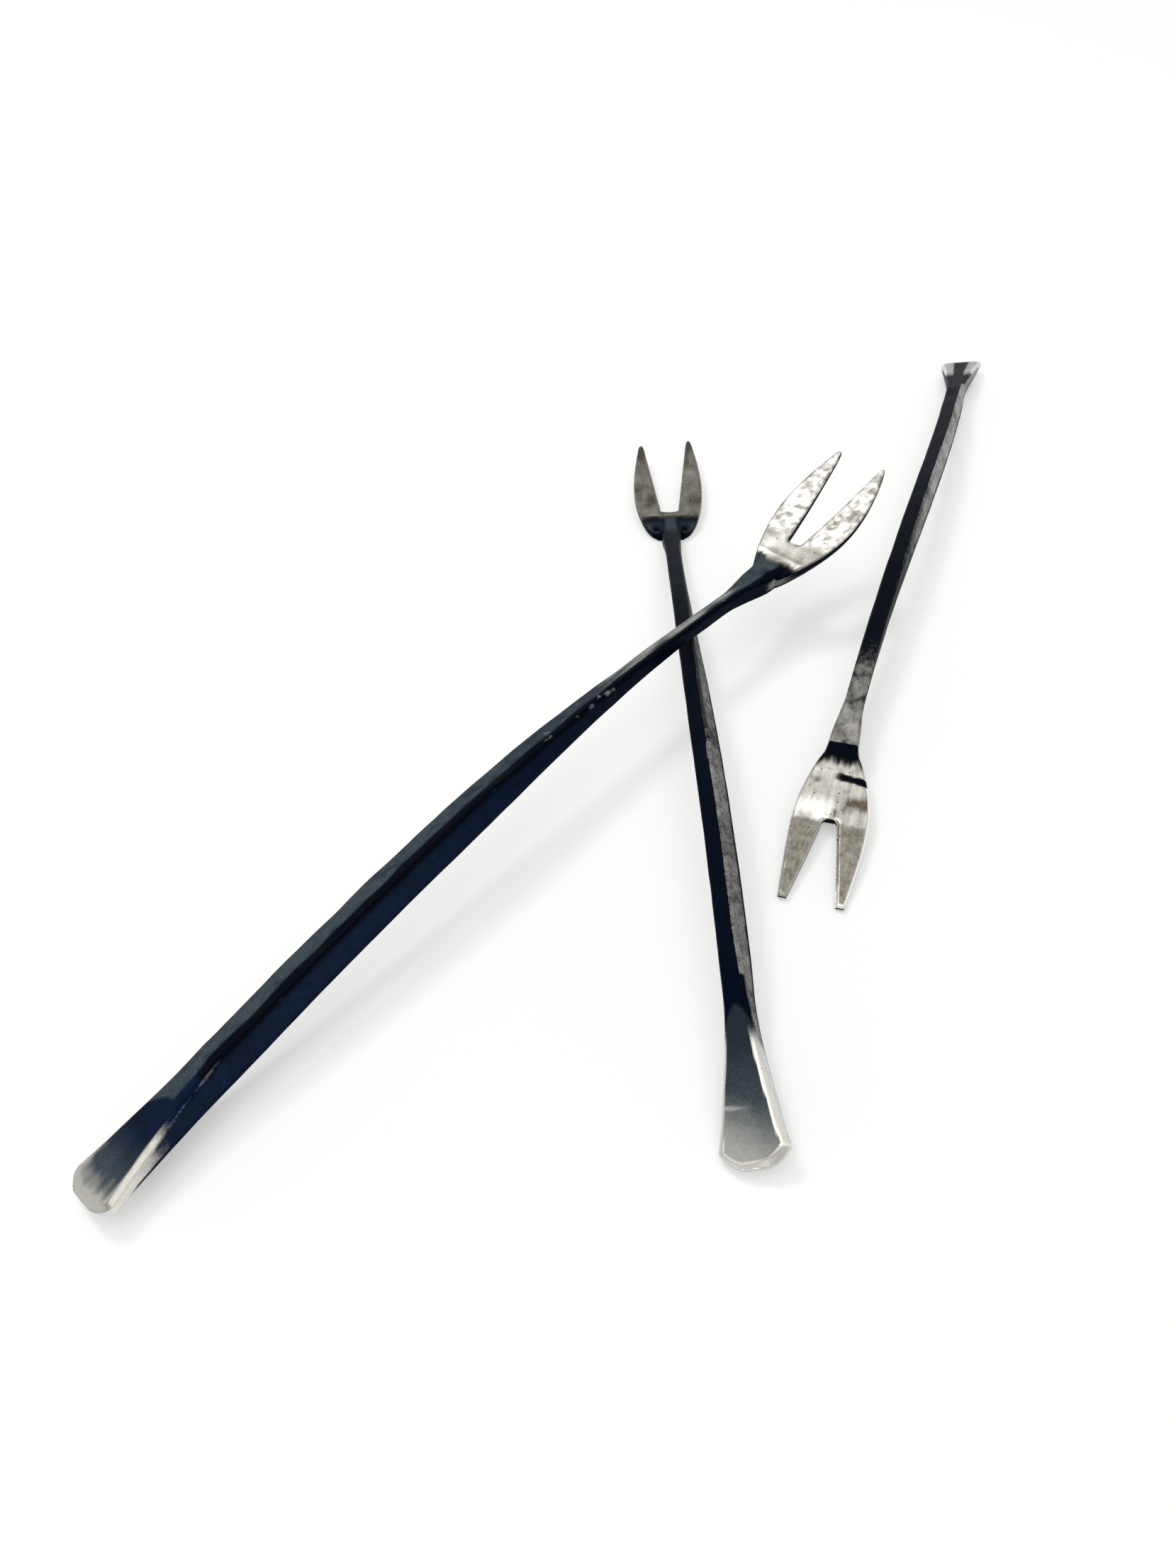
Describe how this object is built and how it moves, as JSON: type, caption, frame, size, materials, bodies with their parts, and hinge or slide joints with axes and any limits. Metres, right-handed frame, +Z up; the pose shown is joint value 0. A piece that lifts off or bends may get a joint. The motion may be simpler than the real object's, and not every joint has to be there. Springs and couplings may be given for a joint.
{
  "type": "olive fork set",
  "caption": "Hand-forged two-tined olive forks with square shanks, fan-shaped handle ends and slotted plate heads, laid out as a set with one leaning across another.",
  "frame": {"origin": "middle of the set's footprint, on the table it lies on", "axes": "+Z up, +Y from the middle fork's fan towards its tines, +X to the right of that"},
  "size_m": [0.1476, 0.1774, 0.0206],
  "materials": {
    "blackened_metal": "blackened, worn bright along the edges and on the heads"
  },
  "bodies": {
    "middle_fork": {"middle_fork": "blackened_metal"},
    "left_fork": {"left_fork": "blackened_metal"},
    "right_fork": {"right_fork": "blackened_metal"}
  },
  "joints": [
    {"name": "left_fork_lift", "type": "slide", "parent": "middle_fork", "child": "left_fork", "axis": [0, 0, 1], "range_m": [0, 0.06]},
    {"name": "right_fork_lift", "type": "slide", "parent": "middle_fork", "child": "right_fork", "axis": [0, 0, 1], "range_m": [0, 0.06]}
  ]
}
